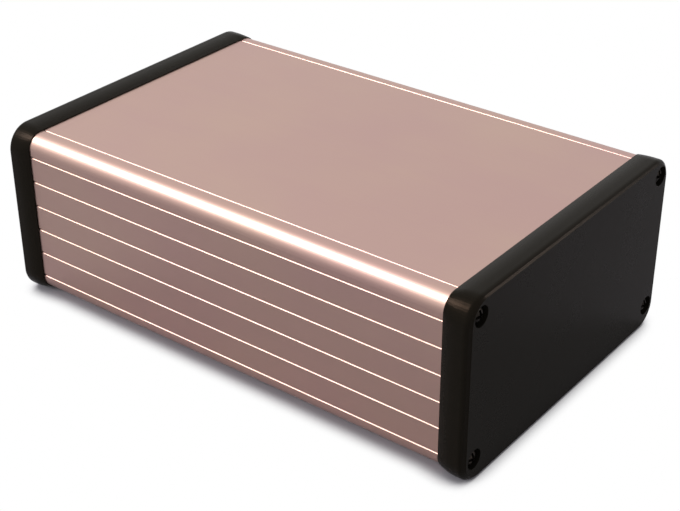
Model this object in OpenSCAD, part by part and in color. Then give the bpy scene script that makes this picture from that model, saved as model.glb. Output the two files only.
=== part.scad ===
// Extruded aluminium enclosure: a grooved body extrusion, a cover that slides into its open
// underside, and a moulded plastic cap screwed over each end. X is the length, Y the depth
// and Z is up. The origin is on the surface that the caps stand on, under the middle.

/* [Body extrusion] */
// Length of the body extrusion
body_l = 160; // [80:1:400]
// Width of the body over its flat sides
body_w = 103; // [70:1:200]
// Height of the body
body_h = 53; // [40:1:100]
// Thickness of the top, side and lip walls
wall = 1.5; // [1.2:0.1:2]
// Outside radius of the four long edges
corner_r = 4.6; // [3.8:0.1:6]

/* [Outside grooves] */
// Radius of the round cutter that leaves a groove
groove_r = 0.45; // [0.3:0.05:0.6]
// Depth of a groove below the surface
groove_depth = 0.35; // [0.2:0.05:0.5]
// Distance from one side groove to the next
groove_pitch = 8.2; // [4:0.1:12]
// Distance of the first side groove from the top
groove_top = 6.5; // [6:0.1:10]
// Distance of a top groove from the side
groove_side = 6.5; // [6:0.1:12]

/* [Card guides] */
// Depth that a slot is sunk into the wall, which is the play at each edge of a circuit board
card_gap = 0.25; // [0.1:0.05:0.4]
// Height of a slot
guide_slot = 1.8; // [1:0.1:2.4]
// Thickness of the rib above and below a slot
guide_rib = 1; // [0.8:0.1:1.5]
// How far a rib stands out from the inside of the wall
guide_reach = 2; // [1:0.1:3]
// Distance from one slot to the next
guide_pitch = 8.2; // [5:0.1:14]

/* [Screw channels] */
// Diameter of the bore that a screw cuts its thread in
bore_d = 3; // [2.6:0.1:3.4]
// Wall of a channel round its bore
channel_wall = 1.3; // [1:0.1:1.8]
// Width of the slit that opens a channel to the inside
channel_slit = 1.4; // [0.8:0.1:2]
// Distance of a channel's middle from the side of the body
channel_side = 4.2; // [3.8:0.1:6]
// Distance of an upper channel's middle from the top of the body
channel_top = 4.1; // [3.8:0.1:6]
// Distance of a lower channel's middle from the underside of the body
channel_bottom = 5; // [4.8:0.1:7]

/* [Bottom cover] */
// Thickness of the cover's sheet and of its tongues
cover_t = 1.5; // [1.2:0.1:2]
// Depth of the slot in the body that a tongue slides in
tongue_slot = 3.5; // [2.5:0.1:6]
// Gap at the edges of the cover
cover_gap = 0.3; // [0.2:0.05:0.5]
// Thickness of the body's rib above a tongue
keeper_t = 1.2; // [0.8:0.1:2]

/* [End caps] */
// How far a cap reaches over the end of the body
cap_overlap = 5.2; // [4:0.1:8]
// Thickness of a cap's end wall
cap_wall = 3.2; // [3:0.1:5]
// How far the crest of a cap stands out from the side of the body
cap_side = 1.6; // [0.9:0.1:3]
// How far the crest stands out above the top of the body
cap_top = 1.2; // [0.9:0.1:3]
// How far the crest stands out below the body, where the case rests on it
cap_foot = 2.2; // [1:0.1:4]
// How far the mouth of a cap stands out from the body
cap_mouth = 0.35; // [0.3:0.05:0.8]
// Width of the flat band along the crest
crest_band = 1.2; // [0.5:0.1:2]
// Length along X of the shoulder between the crest and the end face
shoulder_l = 2; // [1:0.1:2.4]
// How far the shoulder falls at the top and the bottom
shoulder_flat = 0.7; // [0.4:0.1:1.5]
// How far the shoulder falls at the sides
shoulder_side = 1.8; // [0.8:0.1:3]
// Small bevel where the shoulder meets the end face
edge_break = 0.2; // [0.1:0.05:0.3]
// Outside corner radius of a cap at its crest
cap_corner_r = 7.7; // [6:0.1:9]
// Gap between a cap's socket and the body
cap_gap = 0.1; // [0.05:0.05:0.2]
// Depth of the shallow pocket in the inner side of the end wall
pocket_depth = 0.8; // [0.4:0.1:1.2]
// Width of the seat round the pocket, measured from the outside of the body
pocket_seat = 4; // [3:0.1:6]
// Radius of the pad that is left round each screw
pad_r = 5; // [4.4:0.1:7]

/* [Screws] */
// Diameter of the screw head
head_d = 5.4; // [4.8:0.1:6]
// Height of the screw head
head_h = 2; // [1.5:0.1:2.4]
// Gap round the head in its counterbore
head_gap = 0.3; // [0.2:0.05:0.5]
// How far the top of a head lies below the end face
head_sink = 0.2; // [0:0.05:0.4]
// Gap between a screw's shank and its bore
shank_gap = 0.05; // [0.03:0.01:0.1]
// Length of a screw under its head
screw_l = 9.5; // [6:0.5:16]
// Diameter of the clearance hole through the cap
screw_hole_d = 3.8; // [3.6:0.1:4.2]
// Width of the arms of the cross recess
cross_w = 0.9; // [0.6:0.1:1.2]
// Length across the cross recess
cross_l = 3.2; // [2:0.1:4]
// Depth of the cross recess
cross_depth = 1.2; // [0.6:0.1:1.4]

/* [Hidden] */

$fn = 64;
overlap = 0.4;        // how far joined shapes run into each other, and cutters run past a face
cover_len = body_l;

aluminium = [0.76, 0.65, 0.61];
black_plastic = [0.14, 0.13, 0.12];
dark_steel = [0.22, 0.21, 0.2];

half_w = body_w / 2;
inner_half = half_w - wall;
inner_r = corner_r - wall;
body_z = cap_foot;    // the caps stand below the body and carry it

// Screw channels
channel_r = bore_d / 2 + channel_wall;
channel_y = half_w - channel_side;
channel_low = channel_bottom;
channel_high = body_h - channel_top;

// Card guides, as many as fit between the channels
guide_h = guide_slot + 2 * guide_rib;
guide_low_limit = channel_low + channel_r + overlap;
guide_high_limit = channel_high - channel_r - overlap;
guide_room = guide_high_limit - guide_low_limit - guide_h;
guide_count = max(1, floor(guide_room / guide_pitch) + 1);
guide_mid = (guide_low_limit + guide_high_limit) / 2;
guide_floor = inner_half + card_gap;    // a board is as wide as the inside of the body

// Side grooves, as many as fit above the lower edge
groove_count = floor((body_h - groove_top - corner_r) / groove_pitch) + 1;
groove_out = groove_r - groove_depth;

// Slots of the sliding cover: a tongue lies on the lip, below the keeper rib
slot_end = channel_y - channel_r;
mouth_half = slot_end - tongue_slot;
slot_h = cover_t + cover_gap;
keeper_z = wall + slot_h;

// End caps, measured along X from the mouth
cap_l = cap_overlap + cap_wall;
crest_end = cap_l - shoulder_l;
crest_start = crest_end - crest_band;
crown_steps = 7;
shoulder_steps = 6;
corner_steps = 16;
end_x = body_l / 2;

// Screws
counterbore_d = head_d + 2 * head_gap;
head_seat = end_x + cap_wall - head_sink - head_h;
shank_r = bore_d / 2 - shank_gap;
cone_l = 1.5;
SCREW_SPOTS = [
    [-channel_y, channel_low], [channel_y, channel_low],
    [-channel_y, channel_high], [channel_y, channel_high]
];

// ---- helpers ----

// Turns a section drawn in the Y-Z plane into a bar along X, from x0 to x1
module bar_along_x(x0, x1)
    translate([x0, 0, body_z])
        rotate([90, 0, 90])
            linear_extrude(x1 - x0)
                children();

// Rounded rectangle standing on the line y = 0
module rounded_box_2d(w, h, r) {
    translate([-w / 2 + r, 0])
        square([w - 2 * r, h]);
    translate([-w / 2, r])
        square([w, h - 2 * r]);
    for (x = [-w / 2 + r, w / 2 - r], y = [r, h - r])
        translate([x, y])
            circle(r);
}

// The outline of the body, grown by a gap all round
module body_outline_2d(gap = 0)
    translate([0, -gap])
        rounded_box_2d(body_w + 2 * gap, body_h + 2 * gap, corner_r + gap);

// A rectangle given by two opposite corners
module span_2d(x0, y0, x1, y1)
    translate([x0, y0])
        square([x1 - x0, y1 - y0]);

// Draws a child on the right side and its mirror image on the left
module both_sides() {
    children();
    mirror([1, 0])
        children();
}

// ---- body extrusion ----

// Wall all round, open between the two bottom lips
module shell_2d()
    difference() {
        body_outline_2d();
        translate([0, wall])
            rounded_box_2d(2 * inner_half, body_h - 2 * wall, inner_r);
        span_2d(-mouth_half, -overlap, mouth_half, wall + overlap);
    }

// Round boss for a screw, and the filled corner between a lower boss and its lip
module channel_bosses_2d() {
    for (z = [channel_low, channel_high])
        translate([channel_y, z])
            circle(channel_r);
    span_2d(slot_end, wall / 2, channel_y, channel_low);
}

// Bore of a channel, with the slit that opens it to the inside at 45 degrees
module channel_bores_2d()
    for (spot = [[channel_low, 135], [channel_high, 225]])
        translate([channel_y, spot[0]]) {
            circle(bore_d / 2);
            rotate(spot[1])
                span_2d(0, -channel_slit / 2, channel_r + overlap, channel_slit / 2);
        }

// The rib that keeps a tongue of the cover on its lip
module keeper_2d()
    span_2d(mouth_half, keeper_z, channel_y, keeper_z + keeper_t);

module guide_levels()
    for (k = [0 : guide_count - 1])
        translate([0, guide_mid + (k - (guide_count - 1) / 2) * guide_pitch])
            children();

module guide_ribs_2d()
    guide_levels()
        span_2d(inner_half - guide_reach, -guide_h / 2, inner_half + wall / 2, guide_h / 2);

module guide_slots_2d()
    guide_levels()
        span_2d(inner_half - guide_reach - overlap, -guide_slot / 2, guide_floor, guide_slot / 2);

module grooves_2d() {
    for (k = [0 : groove_count - 1])
        translate([half_w + groove_out, body_h - groove_top - k * groove_pitch])
            circle(groove_r);
    translate([half_w - groove_side, body_h + groove_out])
        circle(groove_r);
}

module body_section_2d()
    difference() {
        union() {
            shell_2d();
            both_sides() {
                channel_bosses_2d();
                keeper_2d();
                guide_ribs_2d();
            }
        }
        both_sides() {
            channel_bores_2d();
            guide_slots_2d();
            grooves_2d();
        }
    }

module body_extrusion()
    color(aluminium)
        bar_along_x(-end_x, end_x)
            body_section_2d();

// ---- bottom cover ----

// Sheet flush with the lips, joggled up at each edge into a tongue that lies on the lip
module cover_section_2d() {
    sheet_half = mouth_half - cover_gap;
    span_2d(-sheet_half, 0, sheet_half, cover_t);
    both_sides() {
        span_2d(sheet_half - cover_t, 0, sheet_half, wall + cover_t);
        span_2d(sheet_half - cover_t, wall, slot_end - cover_gap, wall + cover_t);
    }
}

module bottom_cover()
    color(aluminium)
        bar_along_x(-cover_len / 2, cover_len / 2)
            cover_section_2d();

// ---- end caps ----

// A section of the cap: [x from the mouth, share of the crest's height, share of the shoulder's
// fall, bevel]. The crown rises fast from the mouth and levels out at the crest. The shoulder starts
// level and falls faster and faster, down to the bevel round the end face.
function crown_sections() = [
    for (i = [0 : crown_steps])
        let (x = crest_start * i / crown_steps, away = 1 - x / crest_start)
            [x, 1 - away * away, 0, 0]
];
function shoulder_sections() = [
    for (i = [0 : shoulder_steps])
        let (share = i / shoulder_steps)
            [crest_end + (shoulder_l - edge_break) * share, 1, pow(share, 3), 0]
];
function bevel_sections() = [[cap_l, 1, 1, edge_break]];

function blend(low, high, share) = low + (high - low) * share;

// Ring of points round one section, anticlockwise as seen from the end face
function cap_ring(s) =
    let (
        in_side = shoulder_side * s[2] + s[3],
        in_flat = shoulder_flat * s[2] + s[3],
        y = half_w + blend(cap_mouth, cap_side, s[1]) - in_side,
        top = body_h + blend(cap_mouth, cap_top, s[1]) - in_flat,
        foot = -blend(cap_mouth, cap_foot, s[1]) + in_flat,
        r = blend(corner_r + cap_mouth, cap_corner_r, s[1]) - (in_side + in_flat) / 2,
        mids = [[y - r, top - r], [r - y, top - r], [r - y, foot + r], [y - r, foot + r]]
    ) [
        for (q = [0 : 3], i = [0 : corner_steps])
            let (a = 90 * (q + i / corner_steps))
                [s[0], mids[q][0] + r * cos(a), mids[q][1] + r * sin(a)]
    ];

// Solid skinned over a row of rings that all have the same number of points
module loft(rings) {
    n = len(rings[0]);
    last = len(rings) - 1;
    sides = [
        for (k = [0 : last - 1], i = [0 : n - 1])
            let (j = (i + 1) % n)
                [k * n + i, (k + 1) * n + i, (k + 1) * n + j, k * n + j]
    ];
    start = [for (i = [0 : n - 1]) i];
    finish = [for (i = [n - 1 : -1 : 0]) last * n + i];
    polyhedron([for (ring = rings) each ring], concat(sides, [start], [finish]));
}

module cap_outside()
    translate([end_x - cap_overlap, 0, body_z])
        loft([
            for (s = concat(crown_sections(), shoulder_sections(), bevel_sections()))
                cap_ring(s)
        ]);

module cap_pocket_2d()
    difference() {
        translate([0, pocket_seat])
            rounded_box_2d(body_w - 2 * pocket_seat, body_h - 2 * pocket_seat, corner_r / 2);
        for (spot = SCREW_SPOTS)
            translate(spot)
                circle(pad_r);
    }

module cap()
    difference() {
        cap_outside();
        bar_along_x(end_x - cap_overlap - overlap, end_x)
            body_outline_2d(cap_gap);
        bar_along_x(end_x - overlap, end_x + pocket_depth)
            cap_pocket_2d();
        for (spot = SCREW_SPOTS) {
            bar_along_x(end_x - overlap, end_x + cap_wall + overlap)
                translate(spot)
                    circle(d = screw_hole_d);
            bar_along_x(head_seat, end_x + cap_wall + overlap)
                translate(spot)
                    circle(d = counterbore_d);
        }
    }

module right_end_cap()
    color(black_plastic)
        cap();

module left_end_cap()
    color(black_plastic)
        mirror([1, 0, 0])
            cap();

// ---- screws ----

// Half section of a pan-headed screw, with its axis on the line x = 0 and its seat at y = 0
module screw_profile_2d() {
    dome_r = (head_d * head_d / 4 + head_h * head_h) / (2 * head_h);
    intersection() {
        translate([0, head_h - dome_r])
            circle(dome_r);
        span_2d(0, 0, head_d / 2, head_h);
    }
    span_2d(0, cone_l - screw_l, shank_r, overlap);
    polygon([[0, -screw_l], [shank_r, cone_l - screw_l], [0, cone_l - screw_l]]);
}

module screw()
    difference() {
        rotate_extrude()
            screw_profile_2d();
        for (turn = [0, 90])
            rotate(turn)
                translate([-cross_l / 2, -cross_w / 2, head_h - cross_depth])
                    cube([cross_l, cross_w, head_h]);
    }

module end_screws()
    for (spot = SCREW_SPOTS)
        translate([head_seat, spot[0], body_z + spot[1]])
            rotate([0, 90, 0])
                screw();

module right_end_screws()
    color(dark_steel)
        end_screws();

module left_end_screws()
    color(dark_steel)
        mirror([1, 0, 0])
            end_screws();

body_extrusion();
bottom_cover();
left_end_cap();
right_end_cap();
left_end_screws();
right_end_screws();
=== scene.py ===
# %% [markdown]
# An extruded aluminium enclosure, dressed in Blender.
# The real case is a grooved aluminium extrusion, with a plate that slides into its open underside
# and a moulded black plastic cap screwed over each end. The packed CAD model already has each of
# those shapes at its real size, down to the grooves and the cross recesses of the screws. So this
# lesson is about the finishes: how anodised aluminium, moulded plastic and small plated screws take
# the light, and how a plain white studio shows them.

import math

import bmesh
import bpy
from mathutils import Matrix, Vector


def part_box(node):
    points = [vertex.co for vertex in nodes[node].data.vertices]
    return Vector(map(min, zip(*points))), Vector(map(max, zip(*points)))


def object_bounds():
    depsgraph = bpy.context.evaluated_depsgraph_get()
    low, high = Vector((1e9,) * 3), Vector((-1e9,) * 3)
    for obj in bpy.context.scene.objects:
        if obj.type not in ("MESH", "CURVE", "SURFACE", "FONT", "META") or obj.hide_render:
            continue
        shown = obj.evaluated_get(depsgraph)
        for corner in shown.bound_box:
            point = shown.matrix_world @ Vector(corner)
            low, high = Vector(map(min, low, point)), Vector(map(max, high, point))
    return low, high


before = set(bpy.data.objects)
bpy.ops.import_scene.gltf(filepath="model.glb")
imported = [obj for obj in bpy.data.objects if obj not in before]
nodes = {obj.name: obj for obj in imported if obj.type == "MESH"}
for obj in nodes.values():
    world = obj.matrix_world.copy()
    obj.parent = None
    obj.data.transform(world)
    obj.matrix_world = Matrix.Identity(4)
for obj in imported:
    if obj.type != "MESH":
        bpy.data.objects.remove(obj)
cad_box = [Vector(corner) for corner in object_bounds()]
case_middle = (cad_box[0] + cad_box[1]) / 2
case_size = cad_box[1] - cad_box[0]
print("nodes in the frame:", sorted(nodes))
print("size of the case in mm:", [round(1000 * side, 1) for side in case_size])

# %% [markdown]
# The camera comes first. It stands to the front and right of the case and looks down on it, so that
# the top, the front side and the right end cap all show. An aim point, a distance and two angles
# say that more plainly than a position would, and are easy to change. The lens is a long one,
# because a long lens from further away keeps the long edges nearly parallel.

# %% Camera
aim = case_middle + Vector((0.0046, -0.0024, -0.0083))
camera_distance = 0.4496
walked_round = math.radians(37.755)
looking_down = math.radians(30.186)
lean = math.radians(-0.189)

camera_data = bpy.data.cameras.new("camera")
camera_data.sensor_width = 36.0
camera_data.lens = 78.235
camera = bpy.data.objects.new("camera", camera_data)
bpy.context.scene.collection.objects.link(camera)
camera.matrix_world = (
    Matrix.Translation(aim)
    @ Matrix.Rotation(walked_round, 4, "Z")
    @ Matrix.Rotation(math.pi / 2 - looking_down, 4, "X")
    @ Matrix.Rotation(lean, 4, "Z")
    @ Matrix.Translation((0, 0, camera_distance)))
bpy.context.scene.camera = camera
print("the camera stands at", [round(v, 3) for v in camera.matrix_world.translation])

# %% [markdown]
# Shader maths reads best as ordinary expressions. Nodes could be made and joined one at a time, but
# then the maths drowns in links. So a small class wraps one socket and overloads the operators, and
# `1 - mask` adds its own Math node.

# %% A socket that does arithmetic
class Wire:
    """A socket of a node tree. Arithmetic on it adds Math nodes to that tree."""

    def __init__(self, graph, socket):
        self.graph, self.socket = graph, socket

    def math(self, operation, *values):
        settings = {"operation": operation}
        return self.graph.node("ShaderNodeMath", settings, dict(enumerate(values)))[0]

    def __add__(self, other):
        return self.math("ADD", self, other)

    def __radd__(self, other):
        return self.math("ADD", other, self)

    def __sub__(self, other):
        return self.math("SUBTRACT", self, other)

    def __rsub__(self, other):
        return self.math("SUBTRACT", other, self)

    def __mul__(self, other):
        return self.math("MULTIPLY", self, other)

    def __rmul__(self, other):
        return self.math("MULTIPLY", other, self)

    def between(self, low, high):
        """0 up to low, 1 from high on, and a smooth step between the two."""
        settings = {"interpolation_type": "SMOOTHSTEP", "clamp": True}
        values = {"Value": self, "From Min": low, "From Max": high}
        return self.graph.node("ShaderNodeMapRange", settings, values)[0]


print("a wire may stand on the right in", [name for name in vars(Wire) if name[:3] == "__r"])

# %% [markdown]
# A second class looks after one node tree. Its `node` method makes every kind of node, from the
# node's type, its settings, which are set first because they decide which sockets there are, and
# the values or links of those sockets. Colours go through a Mix node and vectors through Vector
# Math, because a Math node would turn a colour grey.

# %% A node tree
class Graph:
    """The node tree of one material or of the world."""

    def __init__(self, tree):
        self.tree = tree
        tree.nodes.clear()

    def node(self, kind, settings=None, values=None):
        """Adds a node and returns its outputs as wires, in their order."""
        made = self.tree.nodes.new(kind)
        for name, setting in (settings or {}).items():
            setattr(made, name, setting)
        self.plug(made.inputs, values or {})
        return [Wire(self, socket) for socket in made.outputs if socket.enabled]

    def plug(self, sockets, values):
        for name, value in values.items():
            if isinstance(value, Wire):
                self.tree.links.new(value.socket, sockets[name])
            else:
                sockets[name].default_value = value

    def mix(self, white_share_painted_shade, low, high):
        """Mixes two colours. A Mix node's colours are its sockets 6 and 7."""
        values = {0: white_share_painted_shade, 6: low, 7: high}
        return self.node("ShaderNodeMix", {"data_type": "RGBA"}, values)[0]

    def place(self):
        """The point's own place on the case, in metres."""
        return self.node("ShaderNodeTexCoord")[3]

    def stretched(self, scales):
        """The place, multiplied along each axis."""
        return self.node("ShaderNodeVectorMath", {"operation": "MULTIPLY"},
                         {0: self.place(), 1: scales})[0]

    def noise(self, scales, detail):
        """Noise from 0 to 1 with so many patches to the metre along each axis."""
        values = {"Vector": self.stretched(scales), "Scale": 1.0, "Detail": detail}
        return self.node("ShaderNodeTexNoise", {}, values)[0]

    def bump(self, height, depth, strength):
        """Leans the normal as if the surface rose and fell by so many metres."""
        values = {"Height": height, "Distance": depth, "Strength": strength}
        return self.node("ShaderNodeBump", {}, values)[0]

    def surface(self, values):
        """One Principled shader, joined to the output."""
        shader = self.node("ShaderNodeBsdfPrincipled", {}, values)[0]
        self.node("ShaderNodeOutputMaterial", {}, {"Surface": shader})


def new_material(name):
    material = bpy.data.materials.new(name)
    material.use_nodes = True
    return material, Graph(material.node_tree)


def rgb(red, green, blue):
    return (red, green, blue, 1.0)


def report(material):
    print(material.name, "has", len(material.node_tree.nodes), "nodes")

# %% [markdown]
# The room. Metal shows what stands round it, so the room matters more to it than its own colour.
# The world is an even white wherever the camera or a reflection sees it, and gives a softer, plain
# level of light to everything else. A reflection in the top of the case is then as bright as the
# metal's own colour says. A picture of a real studio could be wrapped round the scene instead, but
# its windows would show in the metal, and the picture would have to travel with the part.

# %% World
WHITE = rgb(1.0, 1.0, 1.0)
SOFT_LEVEL = 0.36

world = bpy.data.worlds.new("studio")
bpy.context.scene.world = world
world.use_nodes = True
graph = Graph(world.node_tree)
rays = graph.node("ShaderNodeLightPath")
camera_ray, glossy_ray, transmission_ray = rays[0], rays[3], rays[6]
seen = camera_ray + glossy_ray + transmission_ray
plain = graph.node("ShaderNodeBackground", {}, {"Color": WHITE, "Strength": SOFT_LEVEL})[0]
backdrop = graph.node("ShaderNodeBackground", {}, {"Color": WHITE, "Strength": 1.0})[0]
room = graph.node("ShaderNodeMixShader", {}, {0: seen, 1: plain, 2: backdrop})[0]
graph.node("ShaderNodeOutputWorld", {}, {"Surface": room})
print("the world's light level is", SOFT_LEVEL)

# %% [markdown]
# The lamps. One lamp does two jobs at once: it lights a surface, and it is mirrored in it. Here the
# jobs are split, so that each can be set alone. Two large soft lamps light the case and the floor,
# and are not mirrored. Two others are only mirrored. One, above the front left edge, draws the white
# band along the rounded edge of the aluminium. The other, behind on the right, draws the fine line
# along the upper edge of the black end face. Both of those are a little warm.

# %% Lamps
LAMP_DISTANCE = 1.5
NEUTRAL = (1.0, 1.0, 1.0)
WARM = (1.0, 0.96, 0.93)


def soft_lamp(name, direction, diameter, power, colour, mirrored):
    lamp = bpy.data.lights.new(name, "AREA")
    lamp.shape = "DISK"
    lamp.size, lamp.energy, lamp.color = diameter, power, colour
    stand = bpy.data.objects.new(name, lamp)
    away = Vector(direction).normalized()
    stand.location = case_middle + away * LAMP_DISTANCE
    stand.rotation_euler = away.to_track_quat("Z", "Y").to_euler()
    stand.visible_diffuse = not mirrored
    stand.visible_glossy = mirrored
    bpy.context.scene.collection.objects.link(stand)
    print(name, "stands at", [round(v, 2) for v in stand.location])


soft_lamp("left_light", (-0.55, 0.60, 0.58), 0.5, 10.5, NEUTRAL, mirrored=False)
soft_lamp("front_light", (-0.38, -0.78, 0.50), 0.6, 4.8, NEUTRAL, mirrored=False)
soft_lamp("edge_glow", (-0.53, -0.43, 0.73), 0.56, 25.0, WARM, mirrored=True)
soft_lamp("rim_glow", (0.61, 0.68, 0.40), 0.3, 4.5, WARM, mirrored=True)

# %% [markdown]
# The floor is a plain pale sheet that runs out of sight. It is white, with a soft grey line of shade
# close to the caps that carry the case. That shade is partly real and partly painted. The sheet's
# diffuse shader gives the real shadow. An Ambient Occlusion mask, which tells how closed in a point
# is, paints the rest of the shade by taking the white away near the case. The sheet's faint tint is
# what the sides of the case mirror, with a small share of the white. For the camera the sheet fades
# to plain white a few millimetres away. A gradient from the case's box could paint that shade too,
# but Ambient Occlusion follows the real outline.

# %% Floor
FLOOR_HALF = 6.0
FLOOR_GAP = 0.00002
PAINTED_SHADE_REACH = 0.008
PAPER = rgb(0.66, 0.636, 0.70)
MIRRORED_WHITE = 0.15

floor_mesh = bpy.data.meshes.new("floor")
sheet = bmesh.new()
bmesh.ops.create_grid(sheet, x_segments=1, y_segments=1, size=FLOOR_HALF)
sheet.to_mesh(floor_mesh)
sheet.free()
floor = bpy.data.objects.new("floor", floor_mesh)
floor.location.z = cad_box[0].z - FLOOR_GAP
bpy.context.scene.collection.objects.link(floor)

floor_material, graph = new_material("white_sheet")
rays = graph.node("ShaderNodeLightPath")
camera_ray, glossy_ray, transmission_ray = rays[0], rays[3], rays[6]
looked_at = camera_ray + MIRRORED_WHITE * glossy_ray + transmission_ray
open_floor = graph.node("ShaderNodeAmbientOcclusion", {"samples": 16},
                        {"Distance": PAINTED_SHADE_REACH})[1]
paper = graph.node("ShaderNodeBsdfDiffuse", {}, {"Color": PAPER})[0]
white_out = graph.node("ShaderNodeEmission", {}, {"Color": WHITE, "Strength": 1.0})[0]
# Painted shade: where the occlusion finds the floor closed in, the white goes and the lit sheet
# shows, greyer than the white even outside the real shadow.
white_share_painted_shade = looked_at * open_floor.between(0.30, 0.80)
floor_look = graph.node("ShaderNodeMixShader", {}, {0: white_share_painted_shade, 1: paper, 2: white_out})[0]
graph.node("ShaderNodeOutputMaterial", {}, {"Surface": floor_look})
floor_mesh.materials.append(floor_material)
print("the floor lies at z =", round(floor.location.z, 5))

# %% [markdown]
# Satin anodised aluminium. The press leaves very fine lines along the extrusion, because the metal
# is pushed past the same edge of the die all the way. Etching before anodising then makes the
# surface matt, with soft patches a few millimetres wide, and the oxide on it is a thin clear coat
# that takes the rose dye a little unevenly. Strong colour noise would look dirty, so most of the
# variation goes into the roughness and a very low bump, and the colour only drifts between a rose
# and a warmer tone over a few centimetres. Noise that is stretched along X makes the lines, and
# even noise makes the patches, the drift and the etched grain.

# %% Aluminium
ROSE_METAL = rgb(0.468, 0.306, 0.280)
WARM_METAL = rgb(0.486, 0.334, 0.282)
# how many features to the metre, along X, Y and Z
DIE_LINES = (6.0, 2600.0, 2600.0)
ETCHED_GRAIN = (3200.0, 4200.0, 4200.0)
ETCHED_PATCHES = (60.0, 110.0, 110.0)
DYE_DRIFT = (22.0, 30.0, 30.0)
GRAIN_HEIGHT = 0.00004

aluminium, graph = new_material("satin_aluminium")
die_lines = graph.noise(DIE_LINES, 3.0)
patches = graph.noise(ETCHED_PATCHES, 2.0)
etched_grain = graph.noise(ETCHED_GRAIN, 1.0)
dye = graph.noise(DYE_DRIFT, 2.0) * 0.7 + die_lines * 0.3
relief = die_lines * 0.7 + etched_grain * 0.3
graph.surface({
    "Base Color": graph.mix(dye.between(0.28, 0.72), ROSE_METAL, WARM_METAL),
    "Metallic": 1.0,
    "Roughness": 0.40 + 0.05 * patches + 0.05 * die_lines,
    "Coat Weight": 0.08,
    "Coat Roughness": 0.3,
    "Normal": graph.bump(relief, GRAIN_HEIGHT, 0.35)})
report(aluminium)

# %% [markdown]
# Moulded black plastic. The mould is lightly spark-eroded, so a cap has a fine even texture of about
# a third of a millimetre, which keeps the black deep. The crest of a cap stands out furthest, so
# hands and bench tops polish it first. A painted mask could say where the crest is, but a picture
# file would have to travel with the part. The cap's own box says it as well: the crest is wherever a
# point lies within a millimetre of the box's sides, top or bottom.

# %% Crest of the caps
CREST_DEPTH = 0.0009

cap_low, cap_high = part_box("right_end_cap")
plastic, graph = new_material("black_plastic")
across, height = graph.node("ShaderNodeSeparateXYZ", {}, {0: graph.place()})[1:3]
off_middle = across.math("ABSOLUTE", across)
at_side = off_middle.between(cap_high.y - CREST_DEPTH, cap_high.y)
at_top = height.between(cap_high.z - CREST_DEPTH, cap_high.z)
at_foot = 1 - height.between(cap_low.z, cap_low.z + CREST_DEPTH)
crest = 1 - (1 - at_side) * (1 - at_top) * (1 - at_foot)
print("a cap is", [round(1000 * side, 1) for side in cap_high - cap_low], "mm")

# %% [markdown]
# With the crest known, the plastic itself is a near black with very little gloss. The crest is a
# touch paler and smoother, more so where a second, slower noise says that it was handled. The tint
# of the gloss makes the lamps' glints warm, as they are on a black that has some brown in it.

# %% Black plastic
BLACK = rgb(0.0138, 0.0123, 0.0092)
BLACK_WORN = rgb(0.0160, 0.0142, 0.0108)
WARM_GLOSS = rgb(1.0, 0.64, 0.44)
MOULD_SKIN = (2600.0, 2600.0, 2600.0)
FINGER_MARKS = (70.0, 70.0, 70.0)
SKIN_HEIGHT = 0.00006

skin = graph.noise(MOULD_SKIN, 2.0)
handling = graph.noise(FINGER_MARKS, 3.0).between(0.35, 0.75)
worn = crest * (0.5 + 0.5 * handling)
graph.surface({
    "Base Color": graph.mix(worn, BLACK, BLACK_WORN),
    "Roughness": 0.27 - 0.03 * handling - 0.06 * worn + 0.05 * skin,
    "Specular IOR Level": 0.044,
    "Specular Tint": WARM_GLOSS,
    "Normal": graph.bump(skin, SKIN_HEIGHT, 0.3)})
report(plastic)

# %% [markdown]
# The screws are steel with a thin black plating, which a driver scuffs where it slips, so specks of
# paler metal show through. A real edge mask would need the curvature of the mesh. On heads this
# small a fine noise, cut off steeply so that it leaves specks, reads the same and costs less.

# %% Plated steel
PLATING = rgb(0.024, 0.020, 0.017)
BARE_STEEL = rgb(0.070, 0.056, 0.047)
SCUFFS = (900.0, 900.0, 900.0)
PLATING_GRAIN = (2500.0, 2500.0, 2500.0)
SCUFF_DEPTH = 0.00003

steel, graph = new_material("black_steel")
scuffs = graph.noise(SCUFFS, 3.0)
graph.surface({
    "Base Color": graph.mix(scuffs.between(0.52, 0.68), PLATING, BARE_STEEL),
    "Metallic": 1.0,
    "Roughness": 0.38 + 0.2 * graph.noise(PLATING_GRAIN, 2.0),
    "Normal": graph.bump(scuffs, SCUFF_DEPTH, 0.4)})
report(steel)

# %% [markdown]
# Each node of the frame keeps its mesh and its place, and only takes a better material. The parts of
# one make share one material, as they do in the factory: the extrusion and the cover are anodised
# together, and the two caps come out of one mould.

# %% Dress the nodes
finishes = {
    "body_extrusion": aluminium, "bottom_cover": aluminium,
    "left_end_cap": plastic, "right_end_cap": plastic,
    "left_end_screws": steel, "right_end_screws": steel}
for name, finish in finishes.items():
    for slot in nodes[name].material_slots:
        slot.material = finish
    print(name, "takes", finish.name)

# %% [markdown]
# Last, the colours are shown as they are, with no film look.

# %% Finish
bpy.context.scene.view_settings.view_transform = "Standard"
